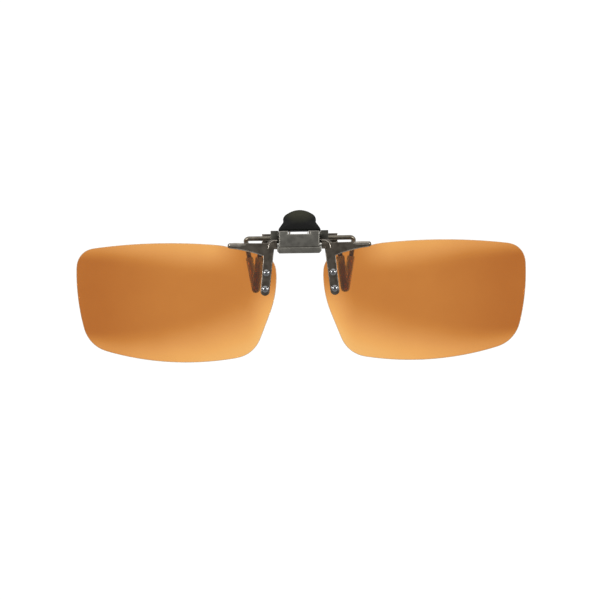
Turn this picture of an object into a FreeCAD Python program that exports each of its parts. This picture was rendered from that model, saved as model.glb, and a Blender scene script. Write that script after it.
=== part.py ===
import FreeCAD, Part

import math
import os

import Sketcher
from FreeCAD import Placement, Rotation, Vector

# Clip-on flip lenses: a pair of tinted lenses on a shaft that turns in a small bridge box, and a
# sprung thumb lever whose two rear claws grip the wearer's own lenses against two front claws.
# Millimetres, +Z up. The front faces -Y, and -X is the left of someone who looks at the front.
# The origin is the middle of the grip: halfway between the two pairs of claws and up their pads.

# ---------------------------------------------------------------------------------------------
# Driving dimensions
# ---------------------------------------------------------------------------------------------
DIMENSIONS = {
    "overcut": 1.0,  # how far a cutter runs on past the faces that it opens
    # axes
    "flip_ahead": 6.3,  # flip axis, ahead of the grip plane
    "flip_up": 9.6,  # flip axis, above the middle of the grip
    "lever_ahead": 3.1,  # lever axis, ahead of the grip plane
    "lever_up": 11.7,  # lever axis, above the middle of the grip
    # bridge housing
    "box_half": 5.95,  # half width of the box
    "box_front": 7.75,  # front face of the housing, ahead of the grip plane
    "box_web": 4.45,  # rear face of the web between shaft and lever spring
    "box_rear": 1.9,  # rear face of the cheeks and ears
    "box_top": 3.15,  # housing's top, above the flip axis
    "box_bottom": 2.2,  # housing's bottom, below the flip axis
    "web_thick": 0.45,
    "cheek_thick": 0.8,
    "chamber_half": 3.6,  # half width of the detent chamber
    "chamber_radius": 1.55,
    "ear_inner": 6.3,
    "ear_outer": 8.55,
    "ear_top": 4.35,  # above the flip axis
    "ear_bottom": 0.6,  # below the flip axis
    "ear_deep": 2.5,
    "neck_deep": 1.9,  # the neck joins cheek and ear
    "neck_top": 4.0,  # above the flip axis
    "neck_bottom": 0.2,  # above the flip axis
    "bore_gap": 0.03,  # radial clearance of every running fit
    # front cover
    "cover_thick": 0.75,
    "cover_top": 4.2,  # above the flip axis
    "notch_half": 3.2,
    "notch_floor": 3.24,  # above the flip axis
    "lip_half": 6.5,
    "lip_top": 0.6,  # below the flip axis
    "lip_bottom": 2.4,  # below the flip axis
    "lip_proud": 0.3,  # how far the lip stands in front of the cover
    "lip_bevel": 0.65,
    "cover_edge": 0.2,
    # flip shaft and its detent
    "shaft_radius": 0.7,
    "shaft_half": 7.6,
    "cam_half": 1.0,  # half of the cam's width across its flats
    "cam_length": 4.8,
    "cam_round": 0.35,
    "leaf_thick": 0.2,
    "leaf_long": 6.8,
    "leaf_wide": 1.9,
    # lens
    "lens_thick": 1.1,
    "lens_radius": 260.0,  # radius of the lens's front surface
    "lens_ahead": 6.7,  # lens's front surface at its rivets, ahead of the grip plane
    "lens_near": 7.02,  # the edge beside the nose, from the middle plane
    "lens_wide": 60.5,
    "lens_high": 35.65,
    "lens_top": 1.15,  # highest point of the edge, above the flip axis
    "blank_ahead": 2.0,  # the blank that is cut to the outline starts this far ahead of the lens
    "blank_deep": 13.0,  # deep enough for the curve of the outer edge
    "round_nose_top": 4.8,
    "round_shoulder": 14.0,
    "round_temple_top": 5.8,
    "round_temple_low": 9.5,
    "round_nose_low": 9.0,
    # lens bracket
    "plate_thick": 0.8,
    "stem_half": 1.36,
    "stem_top_x": 9.3,
    "stem_end_x": 10.3,
    "stem_end": 13.45,  # centre of the stem's round end, below the flip axis
    "wing_top": 0.7,  # above the flip axis
    "wing_reach": 21.2,
    "stem_flare": 0.5,  # how much wider the stem is beside the elbow, towards the nose
    "stem_corner": 0.9,  # where the flare meets the elbow, below the flip axis
    "stem_round": 1.35,  # width of the rounded corner over the stem
    "wing_root": 3.1,  # lower corner beside the stem, below the flip axis
    "wing_waist": 1.5,  # lower edge at the middle of its arc, below the flip axis
    "wing_waist_in": 5.6,  # that middle, inward of the wing's end
    "wing_bulb": 0.9,  # length of the wing's rounded end
    "bulb_top": 0.85,  # above the flip axis
    "bulb_bottom": 0.72,  # below the flip axis
    "knuckle_radius": 1.5,
    "knuckle_inner": 6.55,
    "knuckle_up": 0.3,  # the elbow's bar sits this much above the shaft
    "elbow_radius": 1.5,
    "elbow_end": 1.2,  # below the flip axis
    "elbow_x": 8.35,  # corner of the elbow's centreline
    "elbow_lean": 0.95,  # how far the elbow's end is outside its corner
    # rivets and washers
    "rivet_upper_x": 9.83,
    "rivet_upper": 8.03,  # below the flip axis
    "rivet_lower_x": 10.24,
    "rivet_lower": 12.83,  # below the flip axis
    "rivet_radius": 0.55,
    "rivet_head": 1.0,  # radius of the domed head
    "rivet_dome": 0.55,
    "rivet_tail": 0.85,
    "tail_high": 0.3,
    "washer_radius": 1.2,
    "washer_thick": 0.3,
    "washer_gap": 0.03,  # washer to the lens's rear face at the middle between the rivets
    # front claws
    "claw_thick": 0.8,
    "claw_ahead": 1.1,  # rear face of the metal, ahead of the grip plane
    "lug_inner": 6.9,
    "lug_outer": 11.3,
    "lug_top": 3.45,  # above the flip axis
    "lug_bottom": 0.45,  # above the flip axis
    "lug_notch": 2.4,  # width of the slanting run from lug to leg
    "lug_step": 0.6,  # height of the lug's outer corner over its lower edge
    "claw_knee_x": 12.0,
    "claw_knee": 3.0,  # below the flip axis
    "claw_tip_x": 13.25,
    "claw_tip": 13.2,  # below the flip axis
    "claw_half": 0.75,
    "sleeve_half": 1.2,
    "sleeve_thick": 1.8,
    "sleeve_end": 0.9,  # soft end beyond the metal
    "sleeve_start": 0.4,  # its open mouth, below the claw's knee
    # thumb lever
    "lean": 22.0,  # degrees that the lever leans back from upright
    "arm_inner": 2.75,
    "arm_thick": 0.45,
    "arm_deep": 1.2,  # radius of the arms round the axle tube
    "tube_radius": 0.95,
    "tube_half": 3.4,
    "lever_thick": 0.6,
    "lever_half": 4.0,
    "lever_low": 2.4,  # lower edge of the blade, along the lever from its axis
    "lever_high": 7.8,  # upper edge of the blade
    "blade_crown": 2.0,  # height of the arc at its upper edge
    "arm_start": 0.5,  # how far the arms overlap the blade
    "pad_thick": 1.9,
    "pad_top": 3.5,  # half width of the flat arc on top
    "pad_top_up": 7.75,
    "pad_high": 8.88,
    "pad_shoulder": 4.52,  # half width halfway down the shoulder
    "pad_shoulder_up": 6.95,
    "pad_cheek": 4.96,  # half width under the shoulder
    "pad_cheek_up": 5.75,
    "pad_waist": 4.77,
    "pad_waist_up": 5.05,
    "pad_foot": 6.28,  # half width of the foot
    "pad_foot_top": 2.75,
    "pad_low": 2.2,
    # lever spring
    "coil_inner": 0.98,
    "coil_outer": 1.25,
    "coil_half": 2.6,
    # rear claws
    "wire_radius": 0.7,
    "wire_inner": 1.2,  # inner end of the wire, from the middle plane
    "wire_out": 16.15,
    "wire_bend": 1.1,
    "wire_knee_x": 15.4,
    "wire_back": 1.7,  # the leg, behind the grip plane
    "wire_knee": 3.0,  # below the flip axis
    "wire_tip_x": 13.6,
    "wire_tip": 13.1,  # below the flip axis
    "rear_sleeve": 1.15,  # radius of the rear sleeves
    "rear_start": 0.5,  # mouth of the rear sleeve, below the wire's knee
}

document = FreeCAD.newDocument("clip_on_flip_lenses")
sheet = document.addObject("Spreadsheet::Sheet", "dims")
for row, (alias, number) in enumerate(DIMENSIONS.items(), start=1):
    sheet.set(f"A{row}", alias)
    sheet.set(f"B{row}", str(number))
    sheet.setAlias(f"B{row}", alias)
document.recompute()


class Size:
    """A length with its value now and the sheet expression that keeps it up to date."""

    def __init__(self, value, text):
        self.value = float(value)
        self.text = text

    def __add__(self, other):
        other = as_size(other)
        return Size(self.value + other.value, f"({self.text} + {other.text})")

    def __sub__(self, other):
        other = as_size(other)
        return Size(self.value - other.value, f"({self.text} - {other.text})")

    def __mul__(self, other):
        other = as_size(other)
        return Size(self.value * other.value, f"({self.text} * {other.text})")

    def __truediv__(self, other):
        other = as_size(other)
        return Size(self.value / other.value, f"({self.text} / {other.text})")

    def __neg__(self):
        return Size(-self.value, f"(0 - {self.text})")

    def __float__(self):
        return self.value


def as_size(number):
    return number if isinstance(number, Size) else Size(number, repr(float(number)))


def dim(alias):
    """A driving dimension, read from its cell."""
    return Size(sheet.get(alias), "dims." + alias)


def above_flip(height):
    """Height in the part's frame of something placed from the flip axis."""
    return dim("flip_up") + height


# ---------------------------------------------------------------------------------------------
# Building blocks
# ---------------------------------------------------------------------------------------------
SIDE = Rotation(Vector(0, 1, 0), 90)  # turns an axis along Z to lie along X
BACK = Rotation(Vector(1, 0, 0), -90)  # turns an axis along Z to lie along +Y
subparts = {}


def tie(thing, **sizes):
    """Binds properties to the sheet."""
    for name, size in sizes.items():
        thing.setExpression(name, as_size(size).text)


def place(thing, x=0, y=0, z=0, turn=None):
    """Puts an object at bound coordinates, turned as given."""
    x, y, z = (as_size(value) for value in (x, y, z))
    thing.Placement = Placement(Vector(float(x), float(y), float(z)), turn or Rotation())
    for axis, size in zip("xyz", (x, y, z)):
        thing.setExpression(f"Placement.Base.{axis}", size.text)
    return thing


def keep(thing, label):
    """Names a finished sub-part."""
    thing.Label = label
    subparts[label] = thing
    return thing


def box(name, x, y, z):
    """A block between three pairs of planes."""
    block = document.addObject("Part::Box", name)
    (x0, x1), (y0, y1), (z0, z1) = ([as_size(end) for end in pair] for pair in (x, y, z))
    tie(block, Length=x1 - x0, Width=y1 - y0, Height=z1 - z0)
    return place(block, x0, y0, z0)


def cylinder(name, radius, length, x=0, y=0, z=0, turn=SIDE):
    """A round bar that starts at a point and runs along X, or as turned."""
    bar = document.addObject("Part::Cylinder", name)
    tie(bar, Radius=radius, Height=length)
    return place(bar, x, y, z, turn)


def ball(name, radius, x, y, z):
    sphere = document.addObject("Part::Sphere", name)
    tie(sphere, Radius=radius)
    return place(sphere, x, y, z)


def fuse(name, *pieces):
    joined = document.addObject("Part::MultiFuse", name)
    joined.Shapes = list(pieces)
    return joined


def cut(name, base, *tools):
    tool = tools[0] if len(tools) == 1 else fuse(name + "_tools", *tools)
    rest = document.addObject("Part::Cut", name)
    rest.Base, rest.Tool = base, tool
    return rest


def common(name, first, second):
    shared = document.addObject("Part::Common", name)
    shared.Base, shared.Tool = first, second
    return shared


def compound(name, pieces):
    group = document.addObject("Part::Compound", name)
    group.Links = list(pieces)
    return group


def mirrored(source, label):
    """The same piece on the other side of the middle plane."""
    other = document.addObject("Part::Mirroring", label)
    other.Source = source
    other.Normal = Vector(1, 0, 0)
    return keep(other, label)


def pair(piece, name):
    """Keeps a right-hand piece and its left-hand mirror image as two sub-parts."""
    keep(piece, name + "_right")
    mirrored(piece, name + "_left")


def origin_plane(body, role):
    return next(item for item in body.Origin.OriginFeatures if item.Role == role)


def profile(body, name, start, steps, holes=()):
    """A closed sketch on the body's front plane. A step is a corner (x, z), or a corner and the
    point that an arc passes on its way there. A hole is (x, z, radius)."""
    sketch = body.newObject("Sketcher::SketchObject", name)
    sketch.AttachmentSupport = [(origin_plane(body, "XZ_Plane"), "")]
    sketch.MapMode = "FlatFace"
    corners = [start] + [step[0] for step in steps[:-1]]
    passed = {}
    for index, (corner, (end, *through)) in enumerate(zip(corners, steps)):
        if through:
            passed[index] = through[0]
            sketch.addGeometry(Part.Arc(flat(corner), flat(through[0]), flat(end)))
        else:
            sketch.addGeometry(Part.LineSegment(flat(corner), flat(end)))
    starts = [start_point(sketch, index, corner) for index, corner in enumerate(corners)]
    for index, corner in enumerate(corners):
        pin(sketch, index, starts[index], corner)
        after = (index + 1) % len(corners)
        sketch.addConstraint(
            Sketcher.Constraint("Coincident", index, 3 - starts[index], after, starts[after])
        )
    for index, middle in passed.items():
        dot = sketch.addGeometry(Part.Point(flat(middle)), True)
        pin(sketch, dot, 1, middle)
        sketch.addConstraint(Sketcher.Constraint("PointOnObject", dot, 1, index))
    for x, z, radius in holes:
        index = sketch.addGeometry(Part.Circle(flat((x, z)), Vector(0, 0, 1), float(radius)))
        pin(sketch, index, 3, (x, z))
        number = sketch.addConstraint(Sketcher.Constraint("Radius", index, float(radius)))
        sketch.setExpression(f"Constraints[{number}]", as_size(radius).text)
    return sketch


def flat(corner):
    x, z = (float(value) for value in corner)
    return Vector(x, z, 0)


def start_point(sketch, index, corner):
    """Which end of a curve lies on a corner: an arc may be stored the other way round."""
    return 1 if (sketch.getPoint(index, 1) - flat(corner)).Length < 1e-6 else 2


def pin(sketch, index, point, corner):
    """Holds a point of a sketch at bound coordinates."""
    for kind, size in zip(("DistanceX", "DistanceY"), corner):
        size = as_size(size)
        number = sketch.addConstraint(
            Sketcher.Constraint(kind, -1, 1, index, point, size.value)
        )
        sketch.setExpression(f"Constraints[{number}]", size.text)


def plate(name, front, thick, start, steps, holes=()):
    """A flat piece cut to an outline: its front face lies a bound distance ahead of the grip."""
    body = document.addObject("PartDesign::Body", name)
    sketch = profile(body, name + "_outline", start, steps, holes)
    pad = body.newObject("PartDesign::Pad", name + "_pad")
    pad.Profile = sketch
    tie(pad, Length=thick)
    place(body, 0, thick - front, 0)
    document.recompute()
    return body


def round_edges(body, radius, chosen, kind="PartDesign::Fillet"):
    """Rounds or bevels the edges that a test picks, in the body's own frame."""
    tip = body.Tip
    names = [f"Edge{i}" for i, edge in enumerate(tip.Shape.Edges, start=1) if chosen(edge)]
    if not names:
        raise RuntimeError(f"{body.Name}: no edge to round")
    feature = body.newObject(kind, body.Name + "_round")
    feature.Base = (tip, names)
    tie(feature, **{"Radius" if kind.endswith("Fillet") else "Size": radius})
    document.recompute()
    return feature


def runs_through(x, z):
    """Picks the edges that run along Y through a point of the outline."""

    def chosen(edge):
        ends = [vertex.Point for vertex in edge.Vertexes]
        return all(math.hypot(p.x - float(x), p.z - float(z)) < 0.01 for p in ends)

    return chosen


def rounded_path(points, radius):
    """Straight runs through points, with each corner rounded by a tangent arc."""
    edges = []
    here = points[0]
    for corner, following in zip(points[1:-1], points[2:]):
        arrive = (corner - points[points.index(corner) - 1]).normalize()
        leave = (following - corner).normalize()
        half = arrive.getAngle(leave) / 2
        reach = radius * math.tan(half)
        enter, depart = corner - arrive * reach, corner + leave * reach
        inward = (leave - arrive).normalize()
        centre = corner + inward * (radius / math.cos(half))
        edges.append(Part.LineSegment(here, enter).toShape())
        edges.append(Part.Arc(enter, centre - inward * radius, depart).toShape())
        here = depart
    edges.append(Part.LineSegment(here, points[-1]).toShape())
    return Part.Wire(edges)


def sweep(name, radius, points, bend):
    """A round bar that follows straight runs and bends. It starts along X."""
    path = document.addObject("Part::Feature", name + "_path")
    path.Shape = rounded_path([Vector(*(float(value) for value in point)) for point in points], bend)
    ring = document.addObject("Part::Circle", name + "_section")
    tie(ring, Radius=radius)
    place(ring, *points[0], turn=SIDE)
    bar = document.addObject("Part::Sweep", name)
    bar.Sections = [ring]
    bar.Spine = (path, [f"Edge{i + 1}" for i in range(len(path.Shape.Edges))])
    bar.Solid = True
    return bar


# ---------------------------------------------------------------------------------------------
# Bridge: housing, cover, detent spring
# ---------------------------------------------------------------------------------------------
def shaft_bore(name, radius, half):
    """A round bar on the flip axis, centred on the middle plane."""
    return cylinder(name, radius, half * 2, -half, -dim("flip_ahead"), dim("flip_up"))


def lever_bar(name, radius, half):
    """A round bar on the lever axis, centred on the middle plane."""
    return cylinder(name, radius, half * 2, -half, -dim("lever_ahead"), dim("lever_up"))


def bridge_housing():
    """A box with the detent chamber in front, two cheeks behind it that carry the lever's axle,
    and an ear outside each cheek that the front claw is fixed to."""
    half, cheek = dim("box_half"), dim("cheek_thick")
    front, web, rear = -dim("box_front"), -dim("box_web"), -dim("box_rear")
    top, bottom = above_flip(dim("box_top")), above_flip(-dim("box_bottom"))
    pieces = [box("front_block", (-half, half), (front, web), (bottom, top))]
    ear_x = (dim("ear_inner"), dim("ear_outer"))
    ear_z = (above_flip(-dim("ear_bottom")), above_flip(dim("ear_top")))
    neck_z = (above_flip(dim("neck_bottom")), above_flip(dim("neck_top")))
    neck_y, ear_y = (rear - dim("neck_deep"), rear), (rear - dim("ear_deep"), rear)
    for side, turn in (("right", 1), ("left", -1)):
        cheek_x = sorted(((half - cheek) * turn, half * turn), key=float)
        pieces.append(box(f"cheek_{side}", cheek_x, (web, rear), (bottom, top)))
        neck_x = sorted((half * turn, ear_x[0] * turn), key=float)
        pieces.append(box(f"neck_{side}", neck_x, neck_y, neck_z))
        outer_x = sorted((ear_x[0] * turn, ear_x[1] * turn), key=float)
        pieces.append(box(f"ear_{side}", outer_x, ear_y, ear_z))
    solid = fuse("housing_solid", *pieces)
    gap = dim("bore_gap")
    chamber = dim("chamber_half")
    hollow = dim("chamber_radius")
    tools = [
        box(
            "chamber",
            (-chamber, chamber),
            (front - dim("overcut"), web - dim("web_thick")),
            (above_flip(-hollow), above_flip(hollow)),
        ),
        shaft_bore("shaft_way", dim("shaft_radius") + gap, half + dim("overcut")),
        lever_bar("lever_way", dim("wire_radius") + gap, dim("ear_outer") + dim("overcut")),
    ]
    return keep(cut("bridge_housing", solid, *tools), "bridge_housing")


def front_cover():
    """The plate that closes the box, notched at its top, with a proud bevelled lip below."""
    half, notch = dim("box_half"), dim("notch_half")
    top, floor = above_flip(dim("cover_top")), above_flip(dim("notch_floor"))
    low = above_flip(-dim("lip_top"))
    front = dim("box_front") + dim("cover_thick")
    corners = [
        (half, low),
        (half, top),
        (notch, top),
        (notch, floor),
        (-notch, floor),
        (-notch, top),
        (-half, top),
        (-half, low),
    ]
    face = plate("cover_face", front, dim("cover_thick"), corners[0], closed(corners))
    round_edges(face, dim("cover_edge"), front_rim(face), "PartDesign::Chamfer")
    lip_half, bevel = dim("lip_half"), dim("lip_bevel")
    bottom = above_flip(-dim("lip_bottom"))
    corners = [
        (lip_half, low),
        (-lip_half, low),
        (-lip_half, bottom + bevel),
        (bevel - lip_half, bottom),
        (lip_half - bevel, bottom),
        (lip_half, bottom + bevel),
    ]
    thick = dim("cover_thick") + dim("lip_proud")
    lip = plate("cover_lip", front + dim("lip_proud"), thick, corners[0], closed(corners))
    round_edges(lip, dim("cover_edge"), front_rim(lip), "PartDesign::Chamfer")
    return keep(fuse("front_cover", face, lip), "front_cover")


def closed(corners):
    """Straight steps through corners and back to the first."""
    return [(corner,) for corner in corners[1:] + corners[:1]]


def front_rim(body):
    """Picks the edges round a plate's front face."""
    front = min(vertex.Point.y for vertex in body.Tip.Shape.Vertexes)
    return lambda edge: all(abs(vertex.Point.y - front) < 1e-6 for vertex in edge.Vertexes)


def detent_spring():
    """A bowed leaf between the chamber's roof and the cam: it holds the lenses down or up."""
    reach, thick = dim("leaf_long") / 2, dim("leaf_thick")
    roof, rest = above_flip(dim("chamber_radius")), above_flip(dim("cam_half"))
    steps = [
        ((reach, roof - thick), (0, rest)),
        ((reach, roof),),
        ((-reach, roof), (0, rest + thick)),
        ((-reach, roof - thick),),
    ]
    front = dim("flip_ahead") + dim("leaf_wide") / 2
    leaf = plate("leaf", front, dim("leaf_wide"), (-reach, roof - thick), steps)
    return keep(leaf, "detent_spring")


# ---------------------------------------------------------------------------------------------
# Lens unit: shaft, cam, brackets, lenses, rivets, washers
# ---------------------------------------------------------------------------------------------
def flip_shaft():
    return keep(shaft_bore("flip_shaft", dim("shaft_radius"), dim("shaft_half")), "flip_shaft")


def detent_cam():
    """A square block with rounded corners, pressed on the shaft: its flats are the two stops."""
    half, long_half = dim("cam_half"), dim("cam_length") / 2
    y, z = -dim("flip_ahead"), dim("flip_up")
    block = box("cam_block", (-long_half, long_half), (y - half, y + half), (z - half, z + half))
    document.recompute()
    corners = document.addObject("Part::Fillet", "cam_round")
    corners.Base = block
    radius = dim("cam_round").value
    long_edges = [
        index
        for index, edge in enumerate(block.Shape.Edges, start=1)
        if abs(edge.tangentAt(edge.FirstParameter).x) > 0.9
    ]
    corners.Edges = [(index, radius, radius) for index in long_edges]
    bore = shaft_bore("cam_bore", dim("shaft_radius"), dim("cam_length"))
    return keep(cut("detent_cam", corners, bore), "detent_cam")


def rivet_places():
    return [
        (dim("rivet_upper_x"), above_flip(-dim("rivet_upper"))),
        (dim("rivet_lower_x"), above_flip(-dim("rivet_lower"))),
    ]


def rivet_holes():
    return [(x, z, dim("rivet_radius")) for x, z in rivet_places()]


def lens():
    """A rimless lens: a spherical shell cut to its outline, with two rivet holes."""
    near, wide, high = dim("lens_near"), dim("lens_wide"), dim("lens_high")
    top = above_flip(dim("lens_top"))

    def at(across, down):
        return (near + wide * across, top - high * down)

    nose_top, shoulder, temple_top = at(0.006, 0.133), at(0.265, 0.025), at(0.991, 0.055)
    temple_low, nose_low, nose_mid = at(0.94, 0.858), at(0.112, 0.936), at(0.039, 0.621)
    steps = [
        (shoulder,),
        (temple_top, at(0.6, 0.0)),
        (temple_low, at(0.99, 0.495)),
        (nose_low, at(0.43, 1.0)),
        (nose_mid,),
        (nose_top, at(0.0, 0.369)),
    ]
    ahead = dim("lens_ahead")
    front, deep = ahead + dim("blank_ahead"), dim("blank_deep")
    blank = plate("lens_blank", front, deep, nose_top, steps, rivet_holes())
    for corner, radius in (
        (nose_top, "round_nose_top"),
        (shoulder, "round_shoulder"),
        (temple_top, "round_temple_top"),
        (temple_low, "round_temple_low"),
        (nose_low, "round_nose_low"),
    ):
        round_edges(blank, dim(radius), runs_through(*corner))
    (x0, z0), (x1, z1) = rivet_places()
    centre = ((x0 + x1) / 2, dim("lens_radius") - ahead, (z0 + z1) / 2)
    outer = ball("lens_front", dim("lens_radius"), *centre)
    inner = ball("lens_back", dim("lens_radius") - dim("lens_thick"), *centre)
    pair(common("lens", blank, cut("lens_shell", outer, inner)), "lens")


def lens_bracket():
    """A flat stem riveted to the lens and a wing along its upper edge, joined to the shaft by an
    elbow of round bar."""
    half = dim("stem_half")
    foot_x, foot = dim("stem_end_x"), above_flip(-dim("stem_end"))
    top_x, root = dim("stem_top_x"), above_flip(-dim("wing_root"))
    wing_top, reach = above_flip(dim("wing_top")), dim("wing_reach")
    bulb_x = reach - dim("wing_bulb")
    bulb_low, bulb_high = above_flip(-dim("bulb_bottom")), above_flip(dim("bulb_top"))
    corner, round_x = above_flip(-dim("stem_corner")), dim("stem_round")
    steps = [
        ((foot_x + half, foot), (foot_x, foot - half)),
        ((top_x + half, root),),
        ((bulb_x, bulb_low), (reach - dim("wing_waist_in"), above_flip(-dim("wing_waist")))),
        ((bulb_x, bulb_high), (reach, (bulb_low + bulb_high) / 2)),
        ((top_x, wing_top),),
        ((top_x - half - dim("stem_flare"), corner), (top_x - round_x, (wing_top + corner) / 2)),
        ((foot_x - half, foot),),
    ]
    thick = dim("plate_thick")
    front, start = dim("lens_ahead") + thick, (foot_x - half, foot)
    flat_part = plate("bracket_plate", front, thick, start, steps, rivet_holes())
    y, bar_z = -dim("flip_ahead"), above_flip(dim("knuckle_up"))
    elbow_x = dim("elbow_x")
    end = (elbow_x + dim("elbow_lean"), y, above_flip(-dim("elbow_end")))
    points = [(dim("knuckle_inner"), y, bar_z), (elbow_x, y, bar_z), end]
    elbow = sweep("bracket_elbow", dim("knuckle_radius"), points, dim("elbow_radius").value)
    bore = shaft_bore("bracket_bore", dim("shaft_radius"), dim("shaft_half"))
    pair(cut("lens_bracket", fuse("bracket_solid", flat_part, elbow), bore), "lens_bracket")


def rivets():
    """Two domed rivets through bracket, lens and washers."""
    made = []
    face = dim("lens_ahead") + dim("plate_thick")
    back = dim("lens_ahead") - dim("lens_thick") - dim("washer_gap") - dim("washer_thick")
    for number, (x, z) in enumerate(rivet_places(), start=1):
        head, rise = dim("rivet_head"), dim("rivet_dome")
        crown = (head * head + rise * rise) / (rise * 2)
        dome = common(
            f"rivet_dome_{number}",
            ball(f"rivet_ball_{number}", crown, x, crown - face - rise, z),
            cylinder(f"rivet_slice_{number}", head + dim("overcut"), rise, x, -face - rise, z, BACK),
        )
        radius, long = dim("rivet_radius"), face - back
        shank = cylinder(f"rivet_shank_{number}", radius, long, x, -face, z, BACK)
        radius, long = dim("rivet_tail"), dim("tail_high")
        tail = cylinder(f"rivet_tail_{number}", radius, long, x, -back, z, BACK)
        made.append(fuse(f"rivet_{number}", dome, shank, tail))
    pair(compound("lens_rivets", made), "lens_rivets")


def washers():
    """Thin washers between the lens's rear face and the rivets' tails."""
    made = []
    thick = dim("washer_thick")
    back = dim("lens_ahead") - dim("lens_thick") - dim("washer_gap")
    for number, (x, z) in enumerate(rivet_places(), start=1):
        outside, inside = dim("washer_radius"), dim("rivet_radius")
        disc = cylinder(f"washer_disc_{number}", outside, thick, x, -back, z, BACK)
        hole = cylinder(f"washer_hole_{number}", inside, thick, x, -back, z, BACK)
        made.append(cut(f"washer_{number}", disc, hole))
    pair(compound("lens_washers", made), "lens_washers")


# ---------------------------------------------------------------------------------------------
# Front claws
# ---------------------------------------------------------------------------------------------
def front_claws():
    """A strip fixed to the ear's rear face, bent outward and down, with a soft sleeve on its leg."""
    inner, outer = dim("lug_inner"), dim("lug_outer")
    top, bottom = above_flip(dim("lug_top")), above_flip(dim("lug_bottom"))
    knee_x, knee = dim("claw_knee_x"), above_flip(-dim("claw_knee"))
    tip_x, tip = dim("claw_tip_x"), above_flip(-dim("claw_tip"))
    half = dim("claw_half")
    corners = [
        (inner, bottom),
        (outer - dim("lug_notch"), bottom),
        (knee_x - half, knee),
        (tip_x - half, tip),
        (tip_x + half, tip),
        (knee_x + half, knee),
        (outer, bottom + dim("lug_step")),
        (outer, top),
        (inner, top),
    ]
    front = dim("claw_ahead") + dim("claw_thick")
    strip = plate("claw_strip", front, dim("claw_thick"), corners[0], closed(corners))
    pair(strip, "front_claw")

    wide = dim("sleeve_half")
    end = tip - dim("sleeve_end") + wide
    start = knee - dim("sleeve_start")
    near_x = knee_x + (tip_x - knee_x) * dim("sleeve_start") / (knee - tip)
    steps = [
        ((near_x - wide, start),),
        ((tip_x - wide, end),),
        ((tip_x + wide, end), (tip_x, end - wide)),
        ((near_x + wide, start),),
    ]
    cover = (dim("sleeve_thick") - dim("claw_thick")) / 2
    skin = plate("sleeve_skin", front + cover, dim("sleeve_thick"), (near_x + wide, start), steps)
    pair(cut("front_claw_sleeve", skin, strip), "front_claw_sleeve")


# ---------------------------------------------------------------------------------------------
# Thumb lever: blade, pad, axle tube, spring, rear claws
# ---------------------------------------------------------------------------------------------
def lever_frame(thing):
    """Moves a piece from the lever's own frame, axis at the origin and blade upright, to its
    place, leaning back."""
    thing.setExpression("Placement.Base.y", (-dim("lever_ahead")).text)
    thing.setExpression("Placement.Base.z", dim("lever_up").text)
    thing.Placement = Placement(
        Vector(0, -dim("lever_ahead").value, dim("lever_up").value),
        Rotation(Vector(1, 0, 0), -dim("lean").value),
    )
    return thing


def blade_steps(low):
    """The blade's outline, from its lower right corner: straight sides and an arched top."""
    half, high = dim("lever_half"), dim("lever_high")
    side = high - dim("blade_crown")
    return [((half, side),), ((-half, side), (0, high)), ((-half, low),), ((half, low),)]


def lever_plate():
    """A blade with an arm down each side of the spring, both on the axle tube."""
    half, thick = dim("lever_half"), dim("lever_thick")
    low = dim("lever_low")
    blade = plate("lever_blade", thick / 2, thick, (half, low), blade_steps(low))
    arms = []
    inner, deep = dim("arm_inner"), dim("arm_deep")
    for side, turn in (("right", 1), ("left", -1)):
        span = sorted((inner * turn, (inner + dim("arm_thick")) * turn), key=float)
        reach = (0, low + dim("arm_start"))
        arms.append(box(f"arm_{side}", span, (-thick / 2, thick / 2), reach))
        arms.append(cylinder(f"boss_{side}", deep, dim("arm_thick"), span[0]))
    hole = cylinder("lever_hole", dim("tube_radius"), half * 2, -half)
    solid = fuse("lever_solid", blade, *arms)
    return keep(lever_frame(cut("lever_plate", solid, hole)), "lever_plate")


def thumb_pad():
    """The rubber pad moulded round the blade: round shoulders over a waist and a flared foot."""
    foot, waist, cheek = dim("pad_foot"), dim("pad_waist"), dim("pad_cheek")
    shoulder, top, low = dim("pad_shoulder"), dim("pad_top"), dim("pad_low")
    foot_up, waist_up, cheek_up = dim("pad_foot_top"), dim("pad_waist_up"), dim("pad_cheek_up")
    shoulder_up, top_up, high = dim("pad_shoulder_up"), dim("pad_top_up"), dim("pad_high")
    steps = [
        ((foot, foot_up),),
        ((waist, waist_up),),
        ((cheek, cheek_up),),
        ((top, top_up), (shoulder, shoulder_up)),
        ((-top, top_up), (0, high)),
        ((-cheek, cheek_up), (-shoulder, shoulder_up)),
        ((-waist, waist_up),),
        ((-foot, foot_up),),
        ((-foot, low),),
        ((foot, low),),
    ]
    thick, blade = dim("pad_thick"), dim("lever_thick")
    skin = plate("pad_skin", thick / 2, thick, (foot, low), steps)
    mouth = low - dim("overcut")
    corner = (dim("lever_half"), mouth)
    slot = plate("pad_slot", blade / 2, blade, corner, blade_steps(mouth))
    return keep(lever_frame(cut("thumb_pad", skin, slot)), "thumb_pad")


def axle_tube():
    """The tube that both wires are pressed into and the lever's arms are fixed on."""
    tube = lever_bar("axle_skin", dim("tube_radius"), dim("tube_half"))
    inside = lever_bar("axle_way", dim("wire_radius"), dim("tube_half") + dim("overcut"))
    return keep(cut("axle_tube", tube, inside), "axle_tube")


def lever_spring():
    """The outer shape of the torsion spring wound on the axle tube."""
    coil = lever_bar("coil_skin", dim("coil_outer"), dim("coil_half"))
    inside = lever_bar("coil_way", dim("coil_inner"), dim("coil_half") + dim("overcut"))
    return keep(cut("lever_spring", coil, inside), "lever_spring")


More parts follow.
